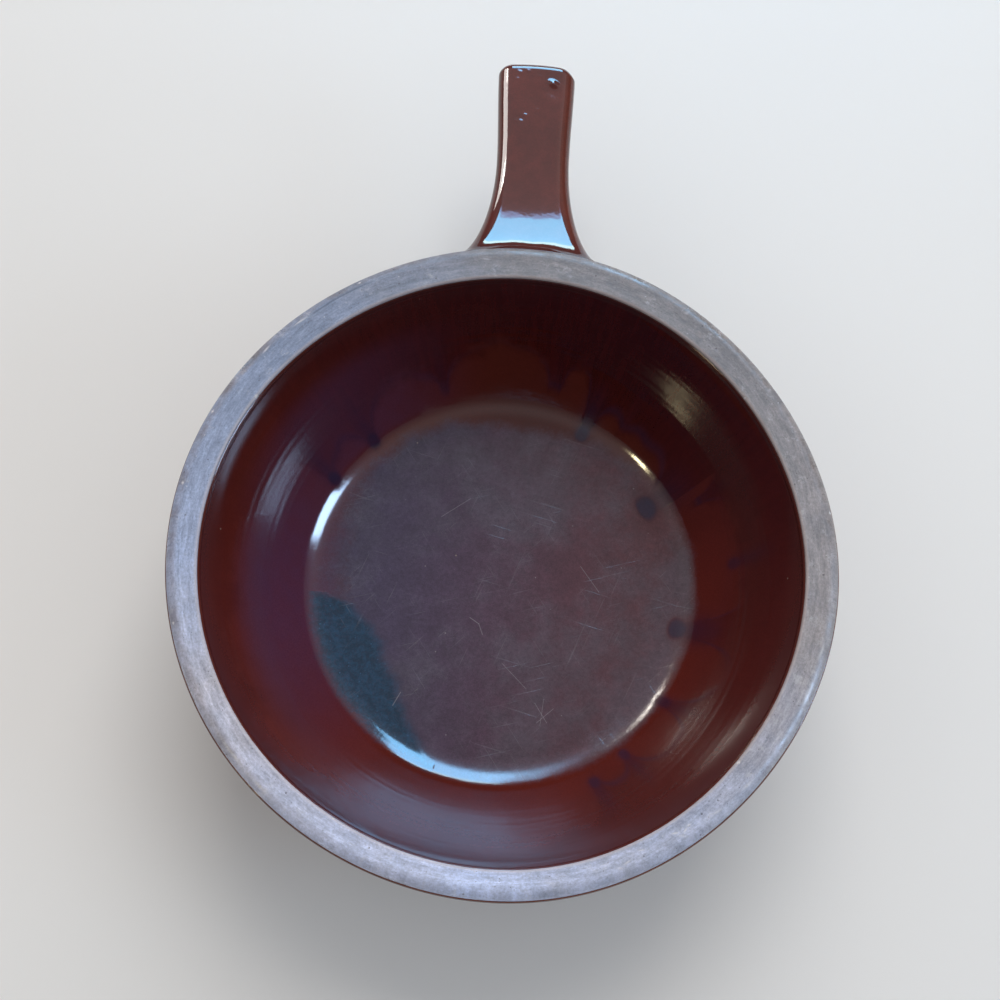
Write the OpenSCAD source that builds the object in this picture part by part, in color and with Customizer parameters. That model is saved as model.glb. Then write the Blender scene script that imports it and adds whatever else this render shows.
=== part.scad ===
// Stoneware lug soup bowl: a jiggered bowl with a bare rim, one pressed lug handle
// luted to its wall, and a brown glaze over all but the rim and the foot.
// Millimetres. The bowl stands on z = 0, centred on the z axis, and the handle points along +y.

/* [Bowl] */
// Outside radius of the rim
rim_r = 85; // [75:0.5:95]
// Height of the rim above the table
bowl_h = 54; // [50:0.5:62]
// Width of the bare rim, from its inner edge to its outside
rim_w = 8.5; // [7.5:0.25:10]
// Radius of the rim's outer shoulder
shoulder_r = 3.5; // [2.5:0.25:4.5]
// Radius of the rim's inner edge
lip_r = 0.8; // [0.5:0.1:1.2]
// Height of the upright stretch of wall under the rim's shoulder
upright_h = 2.5; // [2:0.25:5]
// Lean of the outside wall, from upright, where it leaves that stretch
back_lean = 18; // [14:0.5:22]

/* [Inside] */
// Run of the cove and the wall, from the edge of the flat floor out to the rim's inner edge
wall_run = 31; // [29:0.5:34]
// Lean of the inside wall, from upright, under the rim
wall_lean = 18; // [14:0.5:22]
// Height of the upright stretch between the rim's inner edge and the wall
lip_h = 2; // [1.9:0.1:3]
// Thickness of the floor
floor_t = 9.5; // [7:0.25:11]
// Radius of the cove between floor and wall
cove_r = 14; // [11:0.5:16]

/* [Foot] */
// How far the foot ring stands in from the outside of the rim
foot_inset = 33; // [31:0.5:36]
// Width of the foot ring
foot_w = 7; // [5:0.25:9]
// Height of the foot ring below the wall
foot_h = 3.5; // [3:0.25:5]
// Depth of the recess inside the foot ring
recess_h = 2; // [1.5:0.25:2.5]
// Radius of the foot's two lower edges
foot_edge_r = 0.8; // [0.5:0.1:1.2]

/* [Handle] */
// Length of the handle from the wall to its end
handle_len = 66.5; // [58:0.5:78]
// Width of the grip at its waist
grip_w = 19.4; // [17:0.2:23]
// Width of the grip at its end
tip_w = 21; // [19:0.2:25]
// Thickness of the grip beside the root
grip_t = 11; // [10:0.25:13]
// Thickness of the grip at its end
tip_t = 9.5; // [9:0.25:12]
// Depth of the grip's top below the rim
grip_drop = 10.5; // [9.5:0.25:13]
// Rounding of the grip's long edges
edge_r = 3.4; // [3:0.1:4]
// Rounding of the long edges at the root
root_edge_r = 6.5; // [5:0.25:7]
// Rounding of the grip's end
tip_round = 2.6; // [2:0.1:2.9]
// Bow of the end face across its width
tip_bow = 0.8; // [0.4:0.1:2]
// Length over which the handle opens out to the wall
root_len = 36; // [28:0.5:42]
// Widening of each side of the root
root_flare = 15; // [11:0.2:18]
// Drop of the root's underside
root_sag = 4.5; // [3:0.25:7]
// Gap between the rim's shoulder and the top of the root
root_gap = 1.7; // [1:0.1:3]

/* [Coats] */
// Thickness of the glaze
glaze_t = 0.5; // [0.3:0.05:0.7]
// Height over which the glaze thins out to its edge
glaze_fade = 1.4; // [1:0.1:1.8]
// Height of the outside glaze line above the top of the foot ring
glaze_line_h = 1.5; // [1:0.25:3]
// Thickness of the slip that joins the handle to the wall
slip_t = 0.8; // [0.6:0.1:1.2]

/* [Hidden] */

clay_colour = [0.60, 0.585, 0.61];
slip_colour = [0.55, 0.52, 0.50];
glaze_colour = [0.30, 0.11, 0.09];

// Overrun of the handle's form into the wall, where the wall is cut away from it
overrun = 2;
// Upright land at the edge of the root, above the surface that it stands on
root_land = 0.2;

// Steps of the arcs, the rings along the handle and the points across one ring
wall_steps = 20;
edge_steps = 6;
root_rings = 10;
grip_rings = 8;
tip_rings = 5;
corner_steps = 4;
face_steps = 8;
side_steps = 2;

// Heights and radii that more than one piece shares
inner_r = rim_r - rim_w;
floor_r = inner_r - wall_run;
floor_z = recess_h + floor_t;
shoulder_z = bowl_h - shoulder_r;
upright_z = shoulder_z - upright_h;
lip_z = bowl_h - lip_r;
wall_z = lip_z - lip_h;
foot_r = rim_r - foot_inset;
foot_in_r = foot_r - foot_w;

// The inside wall is one long arc, leaning out under the rim and tangent to the cove at its foot.
cove_c = [floor_r, floor_z + cove_r];
wall_drop = wall_z - cove_c[1];
wall_reach = wall_run * cos(wall_lean) - wall_drop * sin(wall_lean) - cove_r;
wall_arc_r = (wall_run * wall_run + wall_drop * wall_drop - cove_r * cove_r) / (2 * wall_reach);
wall_c = [inner_r - wall_arc_r * cos(wall_lean), wall_z + wall_arc_r * sin(wall_lean)];
cove_a = atan2(cove_c[1] - wall_c[1], cove_c[0] - wall_c[0]);

// The outside wall is one long arc too, leaning in below the rim and ending on the foot ring.
back_drop = upright_z - foot_h;
back_reach = foot_inset * cos(back_lean) - back_drop * sin(back_lean);
back_arc_r = (foot_inset * foot_inset + back_drop * back_drop) / (2 * back_reach);
back_c = [rim_r - back_arc_r * cos(back_lean), upright_z + back_arc_r * sin(back_lean)];
foot_a = atan2(foot_h - back_c[1], foot_r - back_c[0]);
glaze_line_a = asin((foot_h + glaze_line_h - back_c[1]) / back_arc_r);

// Angles at which the two walls, with a coat on them, meet the upright stretches above
function wall_top_a(coat) = -acos((inner_r - coat - wall_c[0]) / (wall_arc_r - coat));
function back_top_a(coat) = -acos((rim_r + coat - back_c[0]) / (back_arc_r + coat));

// Points of an arc about c, from angle a to angle b
function arc(c, r, a, b, steps) =
    [for (i = [0 : steps]) let (t = a + (b - a) * i / steps) c + r * [cos(t), sin(t)]];

function reverse(list) = [for (i = [len(list) - 1 : -1 : 0]) list[i]];

// The inside surface with a coat on it, from the top of the wall's arc down to the axis
function inside_line(coat) = concat(
    arc(wall_c, wall_arc_r - coat, wall_top_a(coat), cove_a, wall_steps),
    arc(cove_c, cove_r - coat, cove_a, -90, edge_steps),
    [[0, floor_z + coat]]
);

// The outside surface with a coat on it, from an angle of the wall's arc up to its top
function outside_line(coat, from_a) =
    arc(back_c, back_arc_r + coat, from_a, back_top_a(coat), wall_steps);

// The outside glaze's rolled lower edge, from the clay round to its surface
function glaze_roll() = let (
    c = back_c + (back_arc_r + glaze_t / 2) * [cos(glaze_line_a), sin(glaze_line_a)]
) arc(c, glaze_t / 2, glaze_line_a - 180, glaze_line_a, edge_steps);

// The glaze thinning out on an upright wall, from bare clay down to its full thickness.
// The coat lies outward of the wall where side is 1 and inward where it is -1.
function glaze_end(r, z, side) = [for (i = [0 : edge_steps])
    let (t = 90 * i / edge_steps)
    [r + side * glaze_t * sin(t), z - glaze_fade * (1 - cos(t))]
];

// Half the bowl's section, from the axis round the foot, the wall and the rim to the floor
function bowl_section() = concat(
    [[0, recess_h], [foot_in_r, recess_h]],
    arc([foot_in_r + foot_edge_r, foot_edge_r], foot_edge_r, 180, 270, edge_steps),
    arc([foot_r - foot_edge_r, foot_edge_r], foot_edge_r, -90, 0, edge_steps),
    outside_line(0, foot_a),
    arc([rim_r - shoulder_r, shoulder_z], shoulder_r, 0, 90, edge_steps),
    arc([inner_r + lip_r, lip_z], lip_r, 90, 180, edge_steps),
    inside_line(0)
);

// A section turned about the bowl's axis
module turned(section) {
    rotate_extrude($fn = 180)
        polygon(section);
}

// Everything inside the outer wall and a coat on it, up to the rim's shoulder
module wall_form(coat) {
    turned(concat(
        [[0, foot_h]],
        outside_line(coat, foot_a),
        [[rim_r + coat, shoulder_z], [0, shoulder_z]]
    ));
}

// Radius of the outer wall at a height, and how far out along y its coated surface lies at x
function back_r(z) = z > upright_z ? rim_r : back_c[0] + sqrt(pow(back_arc_r, 2) - pow(z - back_c[1], 2));
function back_y(x, z, coat) = sqrt(pow(back_r(z) + coat, 2) - x * x);

// The root's flare at a distance from the wall: a quarter of an ellipse, 1 at its land and 0 on the grip
function flare(s) = let (u = 1 - min(max(s, root_land), root_len) / root_len) 1 - sqrt(1 - u * u);
function opening(s) = flare(s) / flare(root_land);
// How far along the grip a distance lies, from 0 at the root to 1 at the end, eased at both
function along(s) = let (u = min(max((s - root_len) / (handle_len - root_len), 0), 1)) u * u * (3 - 2 * u);

// The handle's half width, edges, top and underside at a distance from the wall
grip_z = bowl_h - grip_drop;
root_rise = shoulder_z - root_gap - grip_z;
function half_w(s) = (grip_w + (tip_w - grip_w) * along(s)) / 2 + root_flare * opening(s);
function edge(s) = edge_r + (root_edge_r - edge_r) * opening(s);
function top_z(s) = grip_z + root_rise * opening(s);
function low_z(s) = grip_z - grip_t + (grip_t - tip_t) * along(s) - root_sag * opening(s);

// Points between two corners of the section, the corners left out
function between(a, b, steps) = [for (i = [1 : steps - 1]) a + (b - a) * i / steps];

// Outline of a box with rounded edges, half as wide as w and half as high as h
function rounded_outline(w, h, e) = let (
    cx = w - e,
    cy = h - e
) concat(
    arc([cx, cy], e, 0, 90, corner_steps),
    between([cx, h], [-cx, h], face_steps),
    arc([-cx, cy], e, 90, 180, corner_steps),
    between([-w, cy], [-w, -cy], side_steps),
    arc([-cx, -cy], e, 180, 270, corner_steps),
    between([-cx, -h], [cx, -h], face_steps),
    arc([cx, -cy], e, 270, 360, corner_steps),
    between([w, -cy], [w, cy], side_steps)
);

// One ring of the handle's skin at a distance from the wall, with a coat on it and drawn in
// by the end's rounding. It follows the wall's curve at the root and is flat at the end.
function mid_z(s) = (top_z(s) + low_z(s)) / 2;
function ring(s, drawn_in, coat) = let (
    grow = coat - drawn_in,
    flat = along(s)
) [for (p = rounded_outline(half_w(s) + grow, top_z(s) - mid_z(s) + grow, edge(s) + grow)) let (
    z = mid_z(s) + p[1],
    base_y = back_y(p[0], z, coat) * (1 - flat) + back_y(0, mid_z(s), coat) * flat,
    bow = tip_bow * pow(2 * p[0] / tip_w, 2) * flat
) [p[0], base_y + s - bow, z]];
function ring_middle(s, coat) = [0, back_y(0, mid_z(s), coat) + s, mid_z(s)];

// The handle's whole form with a coat on it, run into the wall by the overrun
module handle_form(coat) {
    land_a = asin(1 - root_land / root_len);
    tip_s = handle_len - tip_round;
    rings = concat(
        [ring(-overrun, 0, coat)],
        [for (i = [root_rings : -1 : 1]) ring(root_len * (1 - sin(land_a * i / root_rings)), 0, coat)],
        [for (i = [0 : grip_rings - 1]) ring(root_len + (tip_s - root_len) * i / grip_rings, 0, coat)],
        [for (i = [0 : tip_rings]) let (t = 90 * i / tip_rings)
            ring(tip_s + tip_round * sin(t), (tip_round + coat) * (1 - cos(t)), coat)]
    );
    last = len(rings) - 1;
    n = len(rings[0]);
    middles = [ring_middle(-overrun, coat), ring_middle(handle_len, coat)];
    sides = [for (k = [0 : last - 1], i = [0 : n - 1])
        let (a = k * n + i, b = k * n + (i + 1) % n)
        each [[a, b, a + n], [b, b + n, a + n]]
    ];
    ends = [for (i = [0 : n - 1])
        let (j = (i + 1) % n, tip = last * n)
        each [[j, i, tip + n], [tip + i, tip + j, tip + n + 1]]
    ];
    polyhedron(
        points = concat([for (r = rings) each r], middles),
        faces = concat(sides, ends),
        convexity = 4
    );
}

// Jiggered stoneware bowl, bare on the rim and the foot
module bowl_body() {
    color(clay_colour)
        turned(bowl_section());
}

// Pressed stoneware lug, hollowed at its root to sit on the slip
module lug_handle() {
    color(clay_colour)
        difference() {
            handle_form(0);
            wall_form(slip_t);
        }
}

// Slip between the wall and the handle, wiped level with the handle's root
module handle_slip() {
    color(slip_colour)
        difference() {
            intersection() {
                handle_form(0);
                wall_form(slip_t);
            }
            wall_form(0);
        }
}

// Glaze over the floor and the inside wall, thinning out at the rim's inner edge
module inside_glaze() {
    color(glaze_colour)
        turned(concat(
            inside_line(glaze_t),
            reverse(inside_line(0)),
            glaze_end(inner_r, lip_z, -1)
        ));
}

// Glaze over the outside wall, from its line above the foot to the rim's shoulder, cut round the handle
module outside_glaze() {
    color(glaze_colour)
        difference() {
            turned(concat(
                glaze_roll(),
                outside_line(glaze_t, glaze_line_a),
                reverse(glaze_end(rim_r, shoulder_z, 1)),
                reverse(outside_line(0, glaze_line_a))
            ));
            handle_form(glaze_t);
        }
}

// Glaze over the handle, meeting the outside glaze round the root
module handle_glaze() {
    color(glaze_colour)
        difference() {
            handle_form(glaze_t);
            handle_form(0);
            wall_form(0);
        }
}

bowl_body();
lug_handle();
handle_slip();
inside_glaze();
outside_glaze();
handle_glaze();
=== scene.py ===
import math
from functools import reduce

import bpy
import numpy as np
from bpy.props import FloatProperty, FloatVectorProperty, PointerProperty
from mathutils import Matrix, Vector


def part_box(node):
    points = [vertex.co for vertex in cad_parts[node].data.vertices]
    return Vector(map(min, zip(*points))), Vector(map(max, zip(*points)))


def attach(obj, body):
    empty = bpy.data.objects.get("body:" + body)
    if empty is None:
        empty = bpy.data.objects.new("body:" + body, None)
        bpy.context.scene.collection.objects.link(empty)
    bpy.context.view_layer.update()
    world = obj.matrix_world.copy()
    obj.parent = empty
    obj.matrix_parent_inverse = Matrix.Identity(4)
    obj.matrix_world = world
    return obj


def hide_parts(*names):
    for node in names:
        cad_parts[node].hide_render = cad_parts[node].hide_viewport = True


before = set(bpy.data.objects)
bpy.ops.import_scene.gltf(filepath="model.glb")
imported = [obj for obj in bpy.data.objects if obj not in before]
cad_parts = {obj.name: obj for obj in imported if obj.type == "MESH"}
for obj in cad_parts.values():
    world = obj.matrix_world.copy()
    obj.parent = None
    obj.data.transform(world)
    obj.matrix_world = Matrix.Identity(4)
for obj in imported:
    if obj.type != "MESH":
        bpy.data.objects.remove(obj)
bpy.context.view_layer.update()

bl_info = {
    "name": "Lug soup bowl",
    "version": (1, 0, 0),
    "blender": (4, 5, 0),
    "location": "View3D > Sidebar > Soup bowl",
    "description": "A brown-glazed stoneware soup bowl with one lug handle and a bare rim, on a pale floor",
    "category": "Object",
}

# Metres throughout. The bowl stands on z = 0 about the z axis, and the lug points along +y.
MM = 0.001
TAU, QUARTER = 2 * math.pi, math.pi / 2
BODY = "root"
# Points once round each turned piece
CLAY_TURNS, INSIDE_TURNS, OUTSIDE_TURNS = 1440, 1080, 720
# A radius in metres under which a ring of points counts as one point on the axis
ON_AXIS = 1e-9

clay_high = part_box("bowl_body")[1]
lug_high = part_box("lug_handle")[1]


def length(name, description, in_mm):
    return FloatProperty(name=name, description=description, default=in_mm * MM, precision=5, unit="LENGTH")


def angle(name, description, degrees):
    return FloatProperty(name=name, description=description, default=math.radians(degrees), unit="ROTATION")


def colour(name, description, default):
    return FloatVectorProperty(name=name, description=description, default=default, subtype="COLOR", size=3)


def share(name, description, default):
    return FloatProperty(name=name, description=description, default=default, min=0, max=1, subtype="FACTOR")


def amount(name, description, default, unit="NONE"):
    return FloatProperty(name=name, description=description, default=default, min=0, unit=unit)


class BowlSizes(bpy.types.PropertyGroup):
    """Sizes of the thrown bowl"""

    rim_r: length("Rim radius", "Outside radius of the rim", clay_high.x / MM)
    height: length("Height", "Height of the rim above the table", clay_high.z / MM)
    rim_w: length("Rim width", "Width of the bare rim", 8.5)
    shoulder_r: length("Shoulder radius", "Radius of the rim's outer shoulder", 3.5)
    lip_r: length("Lip radius", "Radius of the rim's inner edge", 0.8)
    lip_h: length("Lip height", "Upright stretch between the inner edge and the wall", 2)
    upright_h: length("Upright height", "Upright stretch under the shoulder", 2.5)
    back_lean: angle("Outside lean", "Lean of the outside wall below the rim", 18)
    wall_lean: angle("Inside lean", "Lean of the inside wall below the rim", 18)
    wall_run: length("Wall run", "From the edge of the flat floor out to the rim's inner edge", 31)
    cove_r: length("Cove radius", "Radius of the cove between floor and wall", 14)
    floor_t: length("Floor thickness", "Thickness of the floor", 9.5)
    foot_inset: length("Foot inset", "How far the foot ring stands in from the rim", 33)
    foot_w: length("Foot width", "Width of the foot ring", 7)
    foot_h: length("Foot height", "Height of the foot ring below the wall", 3.5)
    recess_h: length("Recess", "Depth of the recess inside the foot ring", 2)
    foot_edge_r: length("Foot edge radius", "Radius of the foot's lower edges", 0.8)


class LugSizes(bpy.types.PropertyGroup):
    """Sizes of the pressed lug handle"""

    tip_y: length("Reach", "Distance of the lug's end from the bowl's axis", lug_high.y / MM)
    grip_w: length("Grip width", "Width of the grip at its waist", 19.4)
    tip_w: length("End width", "Width of the grip at its end", 21)
    grip_t: length("Grip thickness", "Thickness beside the root", 11)
    tip_t: length("End thickness", "Thickness at the end", 9.5)
    grip_drop: length("Grip drop", "Depth of the grip's top below the rim", 10.5)
    edge_r: length("Edge radius", "Rounding of the long edges", 3.4)
    root_edge_r: length("Root edge radius", "Rounding of the long edges at the root", 6.5)
    tip_round: length("End rounding", "Rounding of the end", 2.6)
    tip_bow: length("End bow", "Bow of the end face across its width", 0.8)
    root_len: length("Root length", "Length over which the lug opens out to the wall", 36)
    root_flare: length("Root flare", "Widening of each side of the root", 15)
    root_sag: length("Root sag", "Drop of the root's underside", 4.5)
    root_gap: length("Root gap", "Gap between the rim's shoulder and the top of the root", 1.7)
    slip_t: length("Slip thickness", "Slip between the wall and the lug", 0.8)
    askew: length("Askew", "How far right of the axis the lug was pressed on at its root", 1.3)
    soft_corner: length("Soft corner", "How far the end's right corner is rubbed back", 1.1)
    root_pool: length("Root pool", "Height of the glaze gathered where the lug meets the wall", 1.1)


class GlazeLook(bpy.types.PropertyGroup):
    """Thickness and colours of the glaze"""

    coat_t: length("Coat thickness", "Thickness of the glaze", 0.5)
    coat_fade: length("Coat fade", "Height over which the glaze thins out to its edge", 1.4)
    line_h: length("Glaze line", "Height of the outside glaze line above the foot ring", 1.5)
    pour_t: length("Pour thickness", "Thickness that the second pour adds to the wall", 0.08)
    belly_h: length("Belly", "How far the wall swells in at half its height", 1.3)
    bead_t: length("Bead thickness", "Thickness of the beads at the ends of the drips", 0.09)
    brown: colour("Brown", "First coat, where it lies even", (0.088, 0.0128, 0.0088))
    rust: colour("Rust", "Where the coat breaks thin", (0.15, 0.035, 0.015))
    pour: colour("Pour", "Second pour over the upper wall", (0.033, 0.0024, 0.0018))
    bead: colour("Bead", "Blue black of the drips' ends", (0.019, 0.0135, 0.042))
    film: colour("Film", "Purple film where both coats ran together", (0.074, 0.024, 0.054))
    slate: colour("Slate", "Pool of the second coat on the floor", (0.013, 0.054, 0.112))
    worn: colour("Worn", "Floor rubbed dull by spoons", (0.076, 0.052, 0.070))
    gloss: share("Gloss roughness", "Roughness of the sound glaze", 0.09)
    dull: share("Worn roughness", "Roughness of the worn floor", 0.19)


class ClayLook(bpy.types.PropertyGroup):
    """Colours of the bare clay"""

    # Painted daylight: the cool clay colour holds the bluish daylight on the rim's near and left side, as well as the
    # clay's own lavender grey
    cool: colour("Cool clay", "Lavender grey of the rim's left and near side", (0.408, 0.475, 0.675))
    warm: colour("Warm clay", "Warm grey of the rim's far and right side", (0.33, 0.292, 0.29))
    stain: colour("Stain", "Brown stain on the shoulder", (0.16, 0.12, 0.115))
    chalk: colour("Chalk", "Chips and scuffs", (0.72, 0.70, 0.72))
    edge: colour("Edge line", "Pinkish line along the inner edge", (0.50, 0.42, 0.42))
    foot: colour("Foot clay", "Bare clay of the foot", (0.46, 0.38, 0.31))
    rough: share("Clay roughness", "Roughness of the bare clay", 0.66)
    burnish: share("Burnish", "How much smoother handling has rubbed the rim", 0.48)


class StageLook(bpy.types.PropertyGroup):
    """Floor, light and camera"""

    floor: colour("Floor", "Colour of the pale floor", (0.80, 0.785, 0.76))
    floor_span: length("Floor span", "Side of the square floor", 4000)
    overhead: amount("Overhead", "Brightness of the ceiling straight above", 0.46)
    ceiling: amount("Ceiling", "Brightness of the ceiling further off", 0.70)
    filled: amount("Room light", "Share of the room's brightness that lights the clay", 0.93)
    horizon: amount("Horizon", "Brightness of the walls of the room", 0.28)
    glow: amount("Glow", "Power of the daylight from the right", 5, "POWER")
    key: amount("Soft light", "Power of the soft light", 30, "POWER")
    camera_lens: amount("Lens", "Focal length in millimetres", 54.07, "CAMERA")
    camera_at: FloatVectorProperty(
        name="Camera", description="Place of the camera", default=(-0.0008, -0.0929, 0.4205), subtype="TRANSLATION"
    )
    camera_turn: FloatVectorProperty(
        name="Camera turn",
        description="Turns about the camera's own x, y and z axes",
        default=tuple(math.radians(a) for a in (16.31, 0.14, 4.11)),
        subtype="EULER",
    )


# ---- shapes -------------------------------------------------------------------------------


def arc(centre, radius, a, b, steps):
    """Points of an arc about a centre, from angle a to angle b"""
    t = np.linspace(a, b, steps + 1)
    return np.column_stack([centre[0] + radius * np.cos(t), centre[1] + radius * np.sin(t)])


def line(a, b, steps):
    """Points of a straight line, its first end left out"""
    t = np.linspace(0, 1, steps + 1)[1:, None]
    return np.array(a) + (np.array(b) - np.array(a)) * t


def ease(t):
    """A soft step from 0 to 1, and level beyond them"""
    t = np.clip(t, 0, 1)
    return t * t * (3 - 2 * t)


def rise(x, start, width):
    """0 up to a start and 1 from a width beyond it on"""
    return ease((x - start) / width)


def fall(x, end, width):
    """1 up to a width before an end and 0 from the end on"""
    return ease((end - x) / width)


def hump(x, half):
    """A bell that is 1 at 0 and has fallen to 1/e at half"""
    return np.exp(-((x / half) ** 2))


def bearings(turns):
    """Even bearings once round, in radians"""
    return np.arange(turns) * TAU / turns


def leaning_arc_r(run, drop, lean, cove=0.0):
    """Radius of an arc whose top end has a lean and whose other end touches a cove, centred a run in and a drop down"""
    return (run * run + drop * drop - cove * cove) / (2 * (run * math.cos(lean) - drop * math.sin(lean) - cove))


def turn_between(a, b):
    """Difference of two bearings, from -180 to 180 degrees"""
    return (a - b + 180) % 360 - 180


def near(degrees, where, reach):
    """1 at a bearing, and 0 from a reach to either side of it on"""
    return ease(1 - np.abs(turn_between(degrees, where)) / reach)


def at_bearings(degrees, rows, column=1):
    """Values between those of a table whose rows start with a bearing. It runs on past a full turn."""
    table = np.array(sorted(rows), float)
    stops = np.concatenate([table[:, 0] + turn for turn in (-360, 0, 360)])
    return np.interp(degrees, stops, np.tile(table[:, column], 3))


def waves(rng, x, counts, low, high, fade=0):
    """Sines of x times each count, of random strengths and phases, that weaken as the count to a power of fade"""
    return sum(rng.uniform(low, high) * np.sin(k * x + rng.uniform(0, TAU)) / k**fade for k in counts)


class Form:
    """The bowl's and the lug's shapes, worked out from their sizes"""

    # How far the real rim strays from round, outside and inside: cosine and sine shares in mm, for 0, 1, 2 ... waves
    OUTER_STRAY = [(-0.19, 0), (0.08, 0.81), (0.15, -0.19), (-0.17, -0.05), (0.25, -0.01), (0.16, 0.06)]
    INNER_STRAY = [(-0.11, 0), (-0.03, -0.43), (-0.01, -0.04), (-0.21, -0.07), (0.18, 0.03), (0.14, 0.05)]

    def __init__(self, bowl, lug, glaze):
        self.bowl, self.lug, self.glaze = bowl, lug, glaze
        self.inner_r = bowl.rim_r - bowl.rim_w
        self.floor_r = self.inner_r - bowl.wall_run
        self.floor_z = bowl.recess_h + bowl.floor_t
        self.shoulder_z = bowl.height - bowl.shoulder_r
        self.upright_z = self.shoulder_z - bowl.upright_h
        self.lip_z = bowl.height - bowl.lip_r
        self.wall_z = self.lip_z - bowl.lip_h
        self.foot_r = bowl.rim_r - bowl.foot_inset
        self.foot_in_r = self.foot_r - bowl.foot_w

        run, lean, cove = bowl.wall_run, bowl.wall_lean, bowl.cove_r
        self.cove_c = (self.floor_r, self.floor_z + cove)
        drop = self.wall_z - self.cove_c[1]
        self.wall_arc_r = leaning_arc_r(run, drop, lean, cove)
        self.wall_c = (self.inner_r - self.wall_arc_r * math.cos(lean), self.wall_z + self.wall_arc_r * math.sin(lean))
        self.cove_a = math.atan2(self.cove_c[1] - self.wall_c[1], self.cove_c[0] - self.wall_c[0])

        inset, lean, drop = bowl.foot_inset, bowl.back_lean, self.upright_z - bowl.foot_h
        self.back_arc_r = leaning_arc_r(inset, drop, lean)
        self.back_c = (bowl.rim_r - self.back_arc_r * math.cos(lean), self.upright_z + self.back_arc_r * math.sin(lean))
        self.foot_a = math.atan2(bowl.foot_h - self.back_c[1], self.foot_r - self.back_c[0])
        self.glaze_line_a = math.asin((bowl.foot_h + glaze.line_h - self.back_c[1]) / self.back_arc_r)

        self.grip_z = bowl.height - lug.grip_drop
        self.root_rise = self.shoulder_z - lug.root_gap - self.grip_z
        tip_mid_z = self.grip_z - lug.tip_t / 2
        self.lug_len = lug.tip_y - float(self.back_r(np.array(tip_mid_z)))

    # The bowl's lines

    def wall_top_a(self, coat):
        return -math.acos((self.inner_r - coat - self.wall_c[0]) / (self.wall_arc_r - coat))

    def back_top_a(self, coat):
        return -math.acos((self.bowl.rim_r + coat - self.back_c[0]) / (self.back_arc_r + coat))

    def inside_line(self, coat, wall_steps=18, cove_steps=8, floor_steps=6):
        """The inside from the top of the wall down to the axis, with a coat on it"""
        floor = (self.floor_r, self.floor_z + coat)
        return np.vstack(
            [
                arc(self.wall_c, self.wall_arc_r - coat, self.wall_top_a(coat), self.cove_a, wall_steps),
                arc(self.cove_c, self.bowl.cove_r - coat, self.cove_a, -QUARTER, cove_steps)[1:],
                line(floor, (0, floor[1]), floor_steps),
            ]
        )

    def outside_line(self, coat, from_a, steps):
        return arc(self.back_c, self.back_arc_r + coat, from_a, self.back_top_a(coat), steps)

    def coat_end(self, r, z, coat):
        """Line up which a coat thins out to nothing, at a radius and a height. A coat below 0 lies inside the wall."""
        fade = np.linspace(0, QUARTER, 7)
        return np.column_stack([r + coat * np.sin(fade), z - self.glaze.coat_fade * (1 - np.cos(fade))])

    def stray(self, terms, bearing):
        return MM * sum(c * np.cos(k * bearing) + s * np.sin(k * bearing) for k, (c, s) in enumerate(terms))

    def by_hand(self, z, bearing, inward):
        """How far the potter's hand took a point out from round: most at the rim, nothing at the foot"""
        lift = rise(z, 18 * MM, 30 * MM)
        outer, inner = (self.stray(terms, bearing) for terms in (self.OUTER_STRAY, self.INNER_STRAY))
        return lift * (outer * (1 - inward) + inner * inward)

    # The lug's lines

    def back_r(self, z):
        """Radius of the outside wall at a height"""
        below = np.minimum(z, self.upright_z)
        arc_r = self.back_c[0] + np.sqrt(self.back_arc_r**2 - (below - self.back_c[1]) ** 2)
        return np.where(z > self.upright_z, self.bowl.rim_r, arc_r)

    def back_y(self, x, z, coat):
        return np.sqrt((self.back_r(z) + coat) ** 2 - x * x)

    def opening(self, s):
        """The root's flare: 1 at the wall and 0 on the grip, a quarter of an ellipse"""
        u = 1 - np.clip(s, 0, self.lug.root_len) / self.lug.root_len
        return 1 - np.sqrt(1 - u * u)

    def along(self, s):
        """0 on the root and 1 at the end of the lug"""
        return rise(s, self.lug.root_len, self.lug_len - self.lug.root_len)

    def half_w(self, s):
        lug = self.lug
        return (lug.grip_w + (lug.tip_w - lug.grip_w) * self.along(s)) / 2 + lug.root_flare * self.opening(s)

    def edge(self, s):
        return self.lug.edge_r + (self.lug.root_edge_r - self.lug.edge_r) * self.opening(s)

    def top_z(self, s):
        return self.grip_z + self.root_rise * self.opening(s)

    def low_z(self, s):
        lug = self.lug
        return self.grip_z - lug.grip_t + (lug.grip_t - lug.tip_t) * self.along(s) - lug.root_sag * self.opening(s)

    def outline(self, w, h, e, corner=8, face=26, side=6):
        """Outline of a box with rounded edges, half as wide as w and half as high as h"""
        cx, cy = w - e, h - e
        middles = ((cx, cy), (-cx, cy), (-cx, -cy), (cx, -cy))
        corners = [arc(middle, e, k * QUARTER, (k + 1) * QUARTER, corner) for k, middle in enumerate(middles)]
        flats = [line(corners[k][-1], corners[(k + 1) % 4][0], (face, side)[k % 2])[:-1] for k in range(4)]
        return np.vstack([part for pair in zip(corners, flats) for part in pair])

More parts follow.
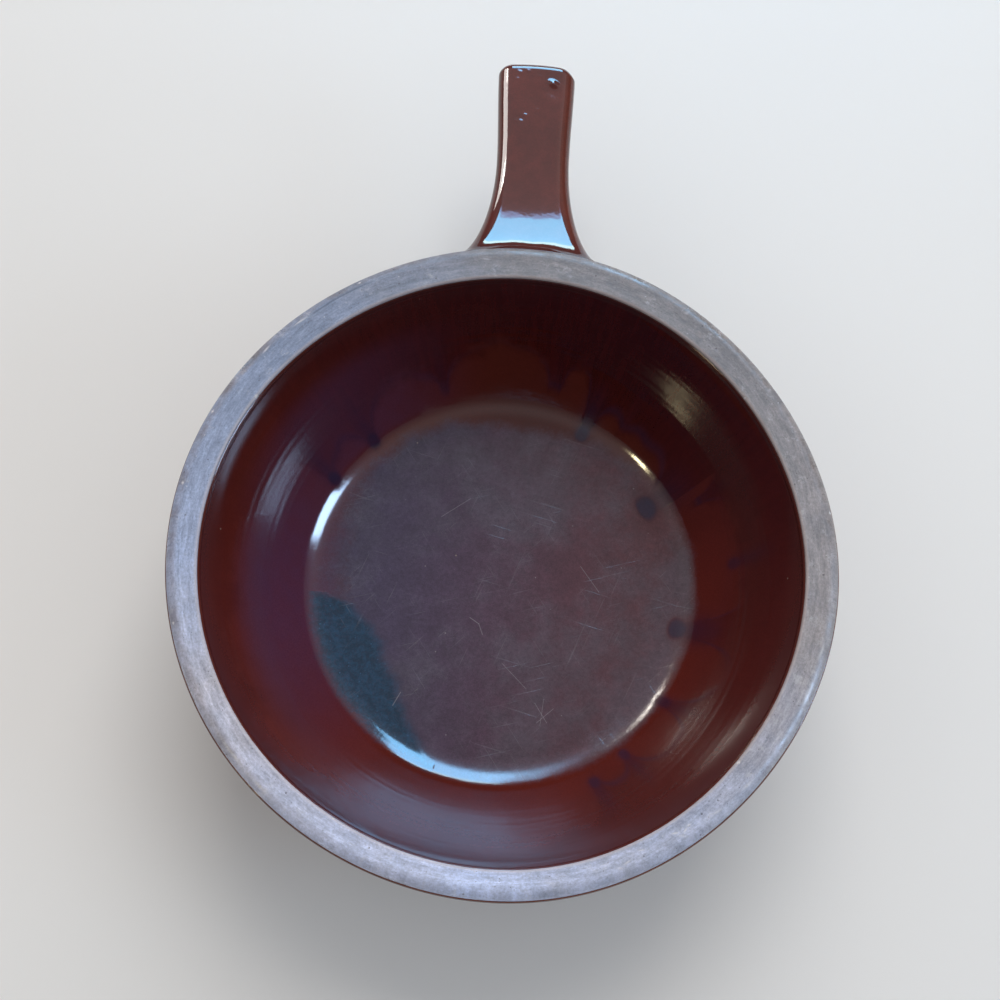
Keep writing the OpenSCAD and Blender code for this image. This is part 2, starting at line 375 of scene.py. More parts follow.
    def lug_ring(self, s, drawn_in, coat, scale=1.0):
        """One ring of the lug's skin at a distance from the wall. scale draws it in towards its middle."""
        lug, grow = self.lug, coat - drawn_in
        mid = (self.top_z(s) + self.low_z(s)) / 2
        flat = self.along(s)
        points = self.outline(self.half_w(s) + grow, self.top_z(s) - mid + grow, self.edge(s) + grow) * scale
        across = 2 * points[:, 0] / lug.tip_w
        x, z = points[:, 0] + lug.askew * (1 - s / self.lug_len), mid + points[:, 1]
        base = self.back_y(x, z, coat) * (1 - flat) + self.back_y(0, mid, coat) * flat
        base = base + self.by_hand(z, np.arctan2(base, x), 0) * ease(1 - s / (0.6 * self.lug_len))
        bow = lug.tip_bow * across**2 * flat
        rubbed = lug.soft_corner * rise(across, 0.45, 0.6) ** 2 * rise(s, self.lug_len - 7 * MM, 7 * MM)
        return np.column_stack([x, base + s - bow - rubbed, z])

    def lug_rings(self, start, coat, root_rings=34, grip_rings=40, tip_rings=12):
        """Rings from the wall to the end of the lug"""
        lug = self.lug
        start_a = math.asin(1 - start / lug.root_len)
        root = [lug.root_len * (1 - math.sin(start_a * k / root_rings)) for k in range(root_rings, 0, -1)]
        tip_s = self.lug_len - lug.tip_round
        grip = [lug.root_len + (tip_s - lug.root_len) * k / grip_rings for k in range(grip_rings)]
        rings = [self.lug_ring(s, 0, coat) for s in root + grip]
        for k in range(tip_rings + 1):
            t = QUARTER * k / tip_rings
            drawn_in = (lug.tip_round + coat) * (1 - math.cos(t))
            rings.append(self.lug_ring(tip_s + lug.tip_round * math.sin(t), drawn_in, coat))
        return rings

    def lug_end(self, s, drawn_in, coat, steps=8):
        """Rings that close an end of the lug, drawn in to one point"""
        return [self.lug_ring(s, drawn_in, coat, 1 - k / steps) for k in range(1, steps + 1)]

    def lug_tip(self, coat, steps=8):
        return self.lug_end(self.lug_len, self.lug.tip_round + coat, coat, steps)


def form_of(scene):
    return Form(scene.bowl_sizes, scene.lug_sizes, scene.glaze_look)


# ---- meshes -------------------------------------------------------------------------------


def mesh_object(name, points, faces):
    """A mesh object in the scene, with no material yet"""
    mesh = bpy.data.meshes.new(name)
    mesh.from_pydata(points, [], faces)
    made = bpy.data.objects.new(name, mesh)
    bpy.context.scene.collection.objects.link(made)
    return made


def piece_from(name, points, faces, material, node, slot):
    """A smooth mesh object that rides on the bowl and stands for one of the frame's nodes"""
    piece = mesh_object(name, points.tolist(), faces)
    piece.data.validate()
    piece.data.shade_smooth()
    piece.data.materials.append(material)
    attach(piece, BODY)
    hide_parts(node)
    return piece


def paint(piece, **layers):
    """Stores numbers at the points of a piece under their names, for its material"""
    for name, values in layers.items():
        layer = piece.data.attributes.new(name, "FLOAT", "POINT")
        layer.data.foreach_set("value", np.asarray(values, np.float32).ravel())


def band(a, b, turns):
    """Faces between the rows of points that start at a and at b and each run once round"""
    i = np.arange(turns)
    j = (i + 1) % turns
    return np.column_stack([a + i, a + j, b + j, b + i]).tolist()


def bands(rows, turns, closed=False):
    """Faces between rows that follow each other, and from the last to the first if they are closed"""
    steps = range(rows if closed else rows - 1)
    return [face for k in steps for face in band(k * turns, (k + 1) % rows * turns, turns)]


def fan(row, turns, pole, outward):
    """Faces between a row of points and one point"""
    i = np.arange(turns)
    j = (i + 1) % turns
    a, b = (row + i, row + j) if outward else (row + j, row + i)
    return np.column_stack([a, b, np.full(turns, pole)]).tolist()


def turned(r, z):
    """Points and faces of a solid turned about the axis, from rows of radius and height at even bearings. Where the
    rows start and end on the axis each end is one point there, and otherwise they are a loop."""
    rows, turns = r.shape
    bearing = bearings(turns)
    points = np.stack([r * np.cos(bearing), r * np.sin(bearing), z], -1)
    if r[0].max() > ON_AXIS or r[-1].max() > ON_AXIS:
        return points.reshape(-1, 3), bands(rows, turns, closed=True)
    ends = np.array([[0, 0, z[0].mean()], [0, 0, z[-1].mean()]])
    points = points[1:-1].reshape(-1, 3)
    count = len(points)
    faces = bands(rows - 2, turns) + fan(0, turns, count, False) + fan(count - turns, turns, count + 1, True)
    return np.vstack([points, ends]), faces


def on_turned(rows, last=0.0):
    """Numbers for the points of a turned solid that ends on the axis, with 0 for its first point"""
    return np.append(rows[1:-1].ravel(), [0, last])


def skin(rings, closed=True):
    """Points and faces of rings that follow each other. The last is drawn in to a point and becomes one, and so does
    the first unless the skin is open there."""
    turns = len(rings[0])
    head, rings = (rings[0][:1], rings[1:]) if closed else (rings[0][:0], rings)
    tail, rings = rings[-1][:1], rings[:-1]
    points = np.vstack(rings)
    count = len(points)
    faces = bands(len(rings), turns)
    if closed:
        faces += fan(0, turns, count, False)
    faces += fan(count - turns, turns, count + len(head), True)
    return np.vstack([points, head, tail]), faces


# ---- materials ----------------------------------------------------------------------------


def tinted(tint, *by):
    """A colour times one number, or times one for each channel"""
    return tuple(c * f for c, f in zip(tint, by * 3 if len(by) == 1 else by))


class Bench:
    """Lays out the nodes of a material or of the world"""

    def __init__(self, name, kind="materials"):
        self.owner = getattr(bpy.data, kind).new(name)
        self.owner.use_nodes = True
        self.tree = self.owner.node_tree
        self.tree.nodes.clear()
        self.places = self.node("ShaderNodeTexCoord").outputs
        self.place = self.places["Object"]

    def feed(self, socket, value):
        """Links an output to a socket, or sets the socket's value. None leaves it as it is."""
        if isinstance(value, bpy.types.NodeSocket):
            self.tree.links.new(value, socket)
        elif hasattr(value, "__len__"):
            socket.default_value = (*value, 1.0)[: len(socket.default_value)]
        elif value is not None:
            socket.default_value = value

    def node(self, kind, *values, **more):
        """A node. Values feed its inputs in order, a name with a capital feeds that input, others are settings."""
        made = self.tree.nodes.new(kind)
        for key, value in more.items():
            if key[0].isupper():
                self.feed(made.inputs[key.replace("_", " ")], value)
            else:
                setattr(made, key, value)
        for socket, value in zip(made.inputs, values):
            self.feed(socket, value)
        return made

    def finish(self, **looks):
        """Gives the material a principled shader, with its inputs by name"""
        shader = self.node("ShaderNodeBsdfPrincipled", **looks)
        self.node("ShaderNodeOutputMaterial", shader.outputs[0])
        return self.owner

    def math(self, operation, a, b=0.0, c=None, clamp=False):
        return self.node("ShaderNodeMath", a, b, c, operation=operation, use_clamp=clamp).outputs[0]

    def add(self, a, factor, to, clamp=False):
        """a times a factor, added to another number"""
        return self.math("MULTIPLY_ADD", a, factor, to, clamp)

    def minus(self, a, b=0.5):
        """a less b. The default is the middle of a noise."""
        return self.math("SUBTRACT", a, b)

    def times(self, *factors):
        return reduce(lambda a, b: self.math("MULTIPLY", a, b), factors)

    def most(self, *terms):
        return reduce(lambda a, b: self.math("MAXIMUM", a, b), terms)

    def vector(self, operation, a, b=None, scale=None):
        made = self.node("ShaderNodeVectorMath", a, b, None, scale, operation=operation)
        return made.outputs["Value" if operation == "LENGTH" else "Vector"]

    def mix(self, factor, a, b):
        """A colour between a and b. The node's colours are its inputs 6 and 7."""
        return self.node("ShaderNodeMix", factor, *[None] * 5, a, b, data_type="RGBA", clamp_factor=True).outputs[2]

    def over(self, base, tint, *shares):
        """A base colour with a tint over it, as strong as the product of its shares"""
        return self.mix(self.times(*shares), base, tint)

    def range(self, value, low, high, to_low=0.0, to_high=1.0, smooth=True):
        kind = "SMOOTHSTEP" if smooth else "LINEAR"
        return self.node("ShaderNodeMapRange", value, low, high, to_low, to_high, interpolation_type=kind).outputs[0]

    def shade(self, tint, amount):
        """A colour made lighter or darker by a number about 1"""
        return self.vector("SCALE", tint, scale=amount)

    def grained(self, tint, noise, depth, half=0.22):
        """A colour made lighter and darker by a depth, as a noise strays half from its middle"""
        return self.shade(tint, self.range(noise, 0.5 - half, 0.5 + half, 1 - depth, 1 + depth, smooth=False))

    def painted(self, name):
        return self.node("ShaderNodeAttribute", attribute_name=name).outputs["Fac"]

    def split(self, vector):
        return self.node("ShaderNodeSeparateXYZ", vector).outputs

    def noise(self, scale, detail=3.0, rough=0.5, vector=None, twist=0.0):
        """Noise of a scale in turns per metre, from 0 to 1"""
        made = self.node("ShaderNodeTexNoise", Scale=scale, Detail=detail, Roughness=rough, Distortion=twist)
        self.feed(made.inputs["Vector"], vector or self.place)
        return made.outputs[0]

    def specks(self, scale, size, chance):
        """Round specks: 1 inside them. size is their radius as a share of the spacing, chance how many show."""
        cells = self.node("ShaderNodeTexVoronoi", feature="F1", Vector=self.place, Scale=scale).outputs
        shown = self.math("LESS_THAN", self.node("ShaderNodeSeparateColor", cells["Color"]).outputs[0], chance)
        return self.times(self.range(cells["Distance"], size, size * 0.6), shown)

    def stretched(self, turn, along, across):
        """The place turned about the z axis and stretched, for scratches"""
        size = (1 / along, 1 / across, 1 / along)
        made = self.node("ShaderNodeMapping", self.place, vector_type="TEXTURE", Rotation=(0, 0, turn), Scale=size)
        return made.outputs[0]

    def streaks(self, around, across=1.0, up=1.0):
        """Coordinates that follow the bowl. The pattern turns on a circle of radius around, and its third axis is
        the distance from the bowl's axis times across, and the height times up."""
        x, y, z = self.split(self.place)
        flat = self.node("ShaderNodeCombineXYZ", x, y).outputs[0]
        circle = self.vector("SCALE", self.vector("NORMALIZE", flat), scale=around)
        third = self.add(self.vector("LENGTH", flat), across, self.times(z, up))
        return self.vector("ADD", circle, self.node("ShaderNodeCombineXYZ", None, None, third).outputs[0])

    def bump(self, height, depth, strength=1.0, under=None):
        """A rough surface of a depth in mm, on top of another"""
        made = self.node("ShaderNodeBump", Height=height, Distance=depth * MM, Strength=strength, Normal=under)
        return made.outputs[0]

    def hairline(self, start, end, width):
        """1 within a width of a straight line, seen from above. Its ends and width are in mm."""
        (ax, ay), (dx, dy) = (v * MM for v in start), ((v - u) * MM for u, v in zip(start, end))
        span = dx * dx + dy * dy
        x, y, z = self.split(self.place)
        px, py = self.minus(x, ax), self.minus(y, ay)
        t = self.add(py, dy / span, self.times(px, dx / span))
        t = self.most(self.math("MINIMUM", t, 1.0), 0.0)
        ex, ey = self.minus(px, self.times(t, dx)), self.minus(py, self.times(t, dy))
        gap = self.math("SQRT", self.add(ex, ex, self.times(ey, ey)))
        return self.range(gap, width * MM, width * MM * 0.35)


# Long scratches of the floor, seen from above: both ends and half the width in mm
HAIRLINES = [
    ((-7.8, -7.8), (-5.2, -9.4), 0.16), ((-5.2, -9.4), (-4.0, -12.3), 0.14), ((-25.1, -29.9), (-26.9, -33.6), 0.18),
    ((11.6, -30.2), (15.2, -35.4), 0.12), ((12.4, -35.6), (16.8, -31.4), 0.12), ((14.0, -29.0), (13.4, -36.2), 0.10),
    ((-18.0, 20.5), (-10.2, 26.4), 0.10), ((2.0, -20.0), (9.0, -26.5), 0.10), ((22.0, 9.0), (27.5, 2.0), 0.10),
]
# Sets of fine scratches: their turn in radians, scales along and across them, and the noise level where they begin
SCRATCHES = [
    (0.3, 60, 2400, 0.69), (1.2, 50, 2000, 0.70), (2.2, 70, 2600, 0.69), (2.9, 40, 1800, 0.705), (0.8, 90, 3000, 0.70),
]
# Colours of small marks
SCRATCH, HAIRLINE, DUST, SAND = (0.30, 0.29, 0.33), (0.34, 0.32, 0.36), (0.35, 0.32, 0.34), (0.30, 0.24, 0.20)
PINHOLE, IRON_SPECK, GROOVE_DIRT = (0.006, 0.003, 0.003), (0.055, 0.035, 0.035), (0.07, 0.085, 0.13)
GLAZE_IOR, CLAY_IOR = 1.5, 1.45


def inside_glaze_material(look):
    """Glossy brown, a darker second pour on the upper wall, blue black beads, a slate pool and a worn floor"""
    b = Bench("inside_glaze_finish")
    cover, bead, film, matt, thin = map(b.painted, ("cover", "bead", "film", "matt", "thin"))
    runs = b.noise(700, 4, 0.6, b.streaks(0.06, 0.05, 0.10))
    mottle = b.noise(260, 3, 0.6)
    ragged, frayed = b.minus(b.noise(170, 4, 0.6)), b.minus(b.noise(900, 3, 0.6))

    def edge(name, soft, wander, fray):
        """A share that passes from 0 to 1 where a painted distance in mm crosses 0, with a ragged edge"""
        return b.range(b.add(frayed, fray, b.add(ragged, wander, b.painted(name))), -soft, soft)

    poured = b.times(edge("pour_mm", 4.2, 15.0, 3.0), b.times(cover, b.range(mottle, 0.25, 0.6, 0.82, 1.0)))
    worn = b.times(edge("worn_mm", 2.4, 3.5, 2.0), b.range(bead, 0.0, 0.8, 1.0, 0.04))
    pool = edge("pool_mm", 2.6, 3.6, 3.0)

    base = b.mix(b.range(b.noise(38, 4, 0.55), 0.3, 0.7), look.brown, tinted(look.brown, 1.2))
    # Painted shade: the first coat is darker on the far side, on the wall that faces away from the far window
    base = b.shade(base, b.range(cover, 0.3, 1.0, 1.0, 0.72))
    base = b.over(base, look.rust, thin, 0.4)
    base = b.over(base, look.film, film, b.range(mottle, 0.25, 0.75, 0.7, 1.0))
    base = b.over(base, b.mix(b.range(runs, 0.35, 0.7), look.pour, tinted(look.pour, 1.5)), poured)
    base = b.over(base, look.film, film, 0.45)
    base = b.over(base, look.bead, bead, b.range(mottle, 0.2, 0.8, 0.75, 1.0))
    # The worn floor is redder on the right, with a cold bluish veil in clouds over it.
    to_right = b.range(b.split(b.place)[0], -0.045, 0.05)
    rubbed = b.mix(to_right, tinted(look.worn, 0.70, 0.80, 1.16), tinted(look.worn, 1.22, 0.60, 0.56))
    veil = b.range(b.noise(34, 6, 0.68), 0.40, 0.68)
    rubbed = b.over(rubbed, tinted(look.worn, 1.12, 1.5, 1.5), veil, 0.55)
    rubbed = b.grained(b.grained(rubbed, b.noise(150, 5, 0.75), 0.20), b.noise(900, 4, 0.8), 0.20)
    base = b.over(base, rubbed, worn)
    slate = b.mix(b.range(b.noise(520, 5, 0.75, twist=0.5), 0.36, 0.62), look.slate, tinted(look.slate, 0.55))
    slate = b.over(slate, tinted(look.slate, 1.5), b.specks(900, 0.25, 0.18))
    base = b.over(base, slate, pool, b.range(b.noise(1500, 3, 0.7), 0.3, 0.6, 0.8, 1.0))

    marks = [b.range(b.noise(1, 1, 0.4, b.stretched(*way)), low, low + 0.07) for *way, low in SCRATCHES]
    scratch = b.times(b.most(*marks), worn, b.range(b.noise(70, 2), 0.42, 0.62))
    base = b.over(base, SCRATCH, scratch, b.range(pool, 0.0, 1.0, 0.12, 0.34))
    for ends_and_width in HAIRLINES:
        base = b.over(base, HAIRLINE, b.hairline(*ends_and_width), 0.35)
    base = b.over(base, DUST, b.specks(420, 0.10, 0.06), worn, 0.35)
    base = b.over(base, SAND, b.specks(150, 0.045, 0.05), 0.5)
    base = b.grained(base, b.noise(2600, 2, 0.6), 0.12, 0.20)

    rough = b.add(worn, 0.03, b.add(matt, look.dull - look.gloss, look.gloss))
    rough = b.add(b.minus(b.noise(1900, 3, 0.7)), b.times(worn, 0.25), rough)
    rough = b.add(b.minus(mottle), 0.05, rough, clamp=True)
    rough = b.times(rough, b.range(pool, 0.0, 1.0, 1.0, 0.62))

    bumps = b.bump(b.noise(330, 2, 0.5), 0.04, 0.4)
    turning = b.noise(420, 3, 0.6, b.streaks(0.014))
    bumps = b.bump(turning, 0.02, b.range(worn, 0.0, 1.0, 0.8, 0.1), bumps)
    bumps = b.bump(runs, 0.03, 0.4, bumps)
    bumps = b.bump(b.noise(3200, 2, 0.7), 0.03, b.times(worn, 0.6), bumps)
    bumps = b.bump(b.times(scratch, -1.0), 0.03, 0.6, bumps)
    return b.finish(Base_Color=base, Roughness=rough, IOR=GLAZE_IOR, Normal=bumps)


def outer_glaze_material(look, name):
    """Glossy brown that breaks to rust on edges and lies darker in hollows"""
    b = Bench(name)
    mottle, pin = b.noise(420, 4, 0.65), b.specks(260, 0.05, 0.07)
    base = b.mix(b.range(b.noise(75, 4, 0.6), 0.36, 0.64), tinted(look.brown, 0.86), tinted(look.brown, 1.12))
    base = b.grained(base, mottle, 0.12, 0.25)
    base = b.over(base, look.rust, b.painted("thin"), b.range(mottle, 0.2, 0.8, 0.7, 1.0))
    base = b.over(base, look.pour, b.painted("thick"), 0.8)
    base = b.grained(b.over(base, PINHOLE, pin, 0.8), b.noise(2200, 2), 0.1, 0.2)
    bumps = b.bump(b.times(pin, -1.0), 0.18, 1.0, b.bump(b.noise(300, 2, 0.5), 0.05, 0.5))
    return b.finish(Base_Color=base, Roughness=b.add(mottle, 0.03, look.gloss * 0.55), IOR=GLAZE_IOR, Normal=bumps)


def clay_material(look):
    """Bare stoneware: lavender to warm grey, faint turning lines, dark specks, a stained shoulder and chalky chips.
    Round the rim it has painted light and shade and painted bluish daylight, and its pale inner edge line is partly a
    painted highlight
    """
    b = Bench("bare_clay_finish")
    inner, shoulder, chip, foot, groove, stain, tone, cool = map(b.painted, CLAY_LAYERS)
    turning, grain = b.noise(900, 5, 0.7, b.streaks(0.010)), b.noise(1500, 4, 0.75)

    # Warm grey clay turns lavender towards the near and left side, with the bluish daylight painted in there, and is
    # then made lighter or darker round the rim as painted light and shade
    base = b.mix(b.add(b.minus(b.noise(45, 4, 0.6)), 0.9, cool, clamp=True), look.warm, look.cool)
    base = b.grained(b.shade(base, tone), turning, 0.28)
    base = b.grained(base, b.noise(2400, 4, 0.75, b.streaks(0.018)), 0.20)
    base = b.grained(base, b.noise(420, 5, 0.7, b.streaks(0.04)), 0.20)
    base = b.grained(base, grain, 0.24)
    base = b.over(base, look.stain, shoulder, stain, b.range(b.noise(130, 4, 0.65), 0.35, 0.65), 0.6)
    base = b.over(base, look.foot, foot, 0.9)
    dark = b.most(b.specks(520, 0.17, 0.10), b.specks(1100, 0.2, 0.14))
    base = b.over(base, IRON_SPECK, dark, 0.55)
    base = b.over(base, GROOVE_DIRT, groove, 0.8)
    # A pale pinkish line along the inner edge: partly worn clay, partly a painted highlight on the rounded edge
    base = b.over(base, look.edge, inner, 0.6)
    frost = b.range(b.noise(330, 6, 0.8, b.streaks(0.06)), 0.54, 0.72, 0.0, 0.32)
    base = b.over(base, look.chalk, b.most(b.times(b.specks(700, 0.14, 0.05), 0.5), frost, chip))

    rough = b.range(grain, 0.2, 0.8, look.rough - 0.12, look.rough + 0.12)
    rubbed = b.times(shoulder, b.range(b.noise(260, 4, 0.7, b.streaks(0.03)), 0.35, 0.7))
    bumps = b.bump(b.times(dark, -1.0), 0.1, 0.7, b.bump(turning, 0.12, 0.5))
    bumps = b.bump(grain, 0.1, 0.6, bumps)
    return b.finish(Base_Color=base, Roughness=b.add(rubbed, -look.burnish, rough), IOR=CLAY_IOR, Normal=bumps)


def slip_material(look):
    """Fired joining slip"""
    b = Bench("joining_slip_finish")
    grain = b.noise(1300, 4, 0.7)
    base = b.mix(b.range(grain, 0.3, 0.7), look.stain, look.warm)
    return b.finish(Base_Color=base, Roughness=0.8, Normal=b.bump(grain, 0.1, 0.6))


def floor_material(look):
    """Pale, smooth board"""
    b = Bench("floor_finish")
    base = b.mix(b.range(b.noise(3, 3, 0.5), 0.3, 0.7), look.floor, tinted(look.floor, 0.97))
    return b.finish(Base_Color=base, Roughness=0.65)


# ---- pieces -------------------------------------------------------------------------------

# Numbers that are painted on the clay for its material
CLAY_LAYERS = ("inner_edge", "shoulder", "chip", "foot", "groove", "stain", "tone", "cool")
# Chips of the rim: bearing in degrees, place across the rim from its inner edge, radius and depth in mm
CHIPS = [
    (-38.0, 0.2, 0.55, 0.35), (150.5, 0.1, 0.55, 0.35), (157.0, 7.2, 0.4, 0.2), (121.0, 7.2, 0.35, 0.2),
    (171.0, 6.9, 0.4, 0.2), (-164.0, 7.4, 0.35, 0.2), (12.0, 7.8, 0.35, 0.2), (38.0, 0.1, 0.35, 0.2),
    (-118.0, 0.1, 0.35, 0.2),
]
# Scuffs: bearing, place across the rim, half length and half width in mm, slant, and strength
SCUFFS = [
    (-55.0, 3.6, 0.8, 0.25, 0.6, 0.9), (-53.2, 4.6, 0.6, 0.25, -0.5, 0.8), (-52.2, 3.9, 0.4, 0.3, 0.2, 0.8),
    (-54.2, 5.4, 0.9, 0.2, 0.9, 0.6), (-61.5, 3.1, 0.7, 0.22, 0.4, 0.7), (-64.5, 4.8, 0.8, 0.22, -0.3, 0.7),
    (-66.0, 5.6, 0.5, 0.25, 0.5, 0.6), (-47.0, 5.8, 1.1, 0.25, 0.2, 0.5), (-40.0, 6.3, 1.4, 0.3, 0.1, 0.45),
    (134.0, 5.9, 1.6, 0.16, 0.05, 0.95), (142.2, 6.1, 1.0, 0.2, -0.1, 0.8), (-21.0, 6.6, 2.2, 0.35, 0.0, 0.5),
    (-13.0, 6.2, 1.8, 0.3, 0.05, 0.45), (-30.0, 5.2, 1.2, 0.2, 0.1, 0.4), (-78.0, 5.0, 1.0, 0.2, 0.3, 0.4),
    (97.0, 4.5, 0.8, 0.15, 0.2, 0.4),
]
# A tool's groove: bearings of its ends, place across the rim, half width and depth in mm
GROOVE = (117.5, 132.5, 5.5, 0.24, 0.16)
# The rim's outer place in mm, beyond which a row of the bowl counts as off the rim
RIM_ROWS, OFF_RIM = 8.6, 9.0
# Round the rim, by bearing in degrees and share: how bright the clay is painted, as painted light and shade on each
# side; how much of the cool lavender clay shows, with the bluish daylight of the near and left side painted into it;
# and how stained the clay is
RIM_PAINTED_LIGHT = [(-150, 1.33), (-90, 1.34), (-42, 1.02), (-1, 0.83), (45, 0.61), (91, 0.60), (139, 0.49), (180, 0.76)]
RIM_COOL_DAYLIGHT = [(-150, 0.35), (-90, 0.85), (-42, 0.35), (-1, -0.1), (45, -0.15), (91, -0.05), (139, 1.0), (180, 1.0)]
RIM_STAIN = [(-150, 0.45), (-110, 0.1), (-20, 0.05), (20, 0.2), (80, 0.4), (110, 0.9), (150, 1.0), (180, 0.8)]


class POTTERY_OT_throw_bowl(bpy.types.Operator):
    """Makes the clay bowl with its bare rim and its foot"""

    bl_idname = "pottery.throw_bowl"
    bl_label = "Throw the bowl"

    def execute(self, context):
        form = form_of(context.scene)
        bowl, e = form.bowl, form.bowl.foot_edge_r
        bearing = bearings(CLAY_TURNS)
        degrees = np.degrees(bearing)

        under = [
            line((0, bowl.recess_h), (form.foot_in_r, bowl.recess_h), 10),
            arc((form.foot_in_r + e, e), e, 2 * QUARTER, 3 * QUARTER, 6),
            arc((form.foot_r - e, e), e, -QUARTER, 0, 6),
            line((form.foot_r, e), (form.foot_r, bowl.foot_h), 4)[:-1],
            form.outside_line(0, form.foot_a, 30),
        ]
        under = np.vstack([[[0, bowl.recess_h]]] + under)
        flat_out, flat_in = bowl.rim_r - bowl.shoulder_r, form.inner_r + bowl.lip_r
        flat = line((flat_out, bowl.height), (flat_in, bowl.height), 26)
        shoulder = arc((flat_out, form.shoulder_z), bowl.shoulder_r, 0, QUARTER, 22)
        lip = arc((flat_in, form.lip_z), bowl.lip_r, QUARTER, 2 * QUARTER, 8)[1:]
        rim = np.vstack([shoulder, flat, lip])
        profile = np.vstack([under, rim, form.inside_line(0)])
        first, last = len(under), len(under) + len(rim)
        across = np.full((len(profile), 1), OFF_RIM)
        across[first:last, 0] = (rim[:, 0] - form.inner_r) / MM
        inward = np.zeros((len(profile), 1))
        inward[first:last, 0] = np.clip((flat_out - rim[:, 0]) / (flat[0, 0] - flat[-1, 0]), 0, 1)
        inward[last:] = 1

        z = profile[:, 1:] + 0 * bearing
        r = profile[:, :1] + form.by_hand(z, bearing, inward)
        # The rim's flat top is turned a touch hollow, and its edges have lost small chips.
        on_rim = across < RIM_ROWS
        z = z - on_rim * hump(across - 3.2, 2.2) * 0.12 * MM * (1 + 0.3 * np.cos(3 * bearing + 1))
        chip = np.zeros_like(r)
        rng = np.random.default_rng(7)
        for where, place, radius, depth in CHIPS:
            u, v = np.radians(turn_between(degrees, where)) * form.inner_r / MM, across - place
            ragged = 1 + 0.25 * np.cos(5 * np.arctan2(v, u + 1e-9) + rng.uniform(0, TAU))
            dip = on_rim * hump(np.hypot(u, v) / ragged, radius)
            z = z - dip * depth * MM * 0.7
            r = r + dip * depth * MM * (0.6 if place < bowl.rim_w / MM / 2 else -0.5)
            chip = np.maximum(chip, rise(dip, 0.35, 0.3))
        for where, place, long, wide, slant, strength in SCUFFS:
            u = np.radians(turn_between(degrees, where)) * form.inner_r / MM
            chip = np.maximum(chip, on_rim * strength * hump(u, long) * hump(across - place - slant * u, wide))
        start, end, place, wide, deep = GROOVE
        drift = 0.25 * np.sin(9 * bearing + 1)
        groove = on_rim * rise(degrees, start, 4) * fall(degrees, end, 2) * hump(across - place - drift, wide)
        z = z - groove * deep * MM
        z[0], r[0], r[-1] = bowl.recess_h, 0, 0
        material = clay_material(context.scene.clay_look)
        piece = piece_from("clay_bowl", *turned(r, z), material, "bowl_body", "bare_clay")

        layers = {
            "inner_edge": on_rim * hump(across - 0.25, 0.42),
            "shoulder": on_rim * rise(across, 5.2, 1.6),
            "chip": chip,
            "foot": (profile[:, 1:] < 12 * MM) & (inward < 1),
            "groove": groove,
            "stain": at_bearings(degrees, RIM_STAIN),
            "tone": at_bearings(degrees, RIM_PAINTED_LIGHT),
            "cool": at_bearings(degrees, RIM_COOL_DAYLIGHT),
        }
        paint(piece, **{name: on_turned(np.broadcast_to(rows, r.shape)) for name, rows in layers.items()})
        return {"FINISHED"}


class POTTERY_OT_press_lug(bpy.types.Operator):
    """Makes the clay lug and the slip that joins it to the wall"""

    bl_idname = "pottery.press_lug"
    bl_label = "Press the lug"

    def execute(self, context):
        form = form_of(context.scene)
        slip_t = form.lug.slip_t
        points, faces = skin(form.lug_end(slip_t, 0, 0)[::-1] + form.lug_rings(slip_t, 0) + form.lug_tip(0))
        piece = piece_from("clay_lug", points, faces, bpy.data.materials["bare_clay_finish"], "lug_handle", "bare_clay")
        paint(piece, **{name: np.full(len(points), name == "tone") for name in CLAY_LAYERS})

        sides = [form.lug_ring(slip_t * k / 4, 0, 0) for k in range(5)]
        slip = skin(form.lug_end(0, 0, 0)[::-1] + sides + form.lug_end(slip_t, 0, 0))
        piece_from("joining_slip", *slip, slip_material(context.scene.clay_look), "handle_slip", "joining_slip")
        return {"FINISHED"}


# Drips of the second pour: bearing in degrees, how far down it ends as an arc from the middle of the floor in mm,
# half its width in degrees, and the strength of the blue black bead at its end
DRIPS = [
    (168, 74, 2.0, 0.0), (150, 55.5, 2.4, 0.9), (134, 55.0, 2.4, 0.85), (109.5, 60.5, 1.8, 0.35), (79, 62.5, 3.4, 0.2),
    (67, 50.0, 2.8, 1.0), (57, 60, 1.6, 0.2), (34.5, 46.0, 5.6, 1.0), (27.5, 63, 1.6, 0.2), (8.5, 67.5, 1.8, 0.5),
    (-8, 48.0, 4.2, 1.0), (-31, 53.0, 2.2, 0.6), (-50, 56.0, 1.7, 0.7), (-61, 59.5, 1.9, 0.6), (-74, 80, 2.0, 0.0),
    (-100, 84, 3.0, 0.0), (-124, 82, 3.0, 0.0), (-148, 83, 3.0, 0.0), (-170, 80, 3.0, 0.0),
]
# How high the pour stands between each drip and the next, in the same measure
ARCHES = [78, 62.5, 70, 75.5, 72, 62, 61, 72, 74, 72, 71.5, 69, 65, 80, 88, 90, 89, 88, 84]
# Purple film: bearing and reach in degrees, where it begins and starts to fade, over how many mm, and its strength
FILMS = [(-178, 62, 42, 70, 16, 1.0), (138, 42, 54, 80, 10, 0.8)]
# Where the slate pool begins, by bearing and in the same measure, and where it ends at its sides and outside
POOL_EDGE = [
    (-176, 50), (-171, 42), (-160.7, 36.5), (-150, 35.8), (-144, 36.6), (-136, 38.4), (-128, 41), (-118, 45),
    (-108, 51),
]
POOL_SIDES, POOL_OUT = (-176, -106), 52.5
# Where the worn floor ends, in the same measure
WORN_EDGE = [
    (-180, 50.5), (-128, 50), (-90, 53), (-60, 54), (-30, 54), (0, 55), (20, 55.5), (45, 54.5), (60, 53), (75, 49),
    (95, 49), (110, 52.5), (130, 54), (150, 53), (180, 50.5),
]
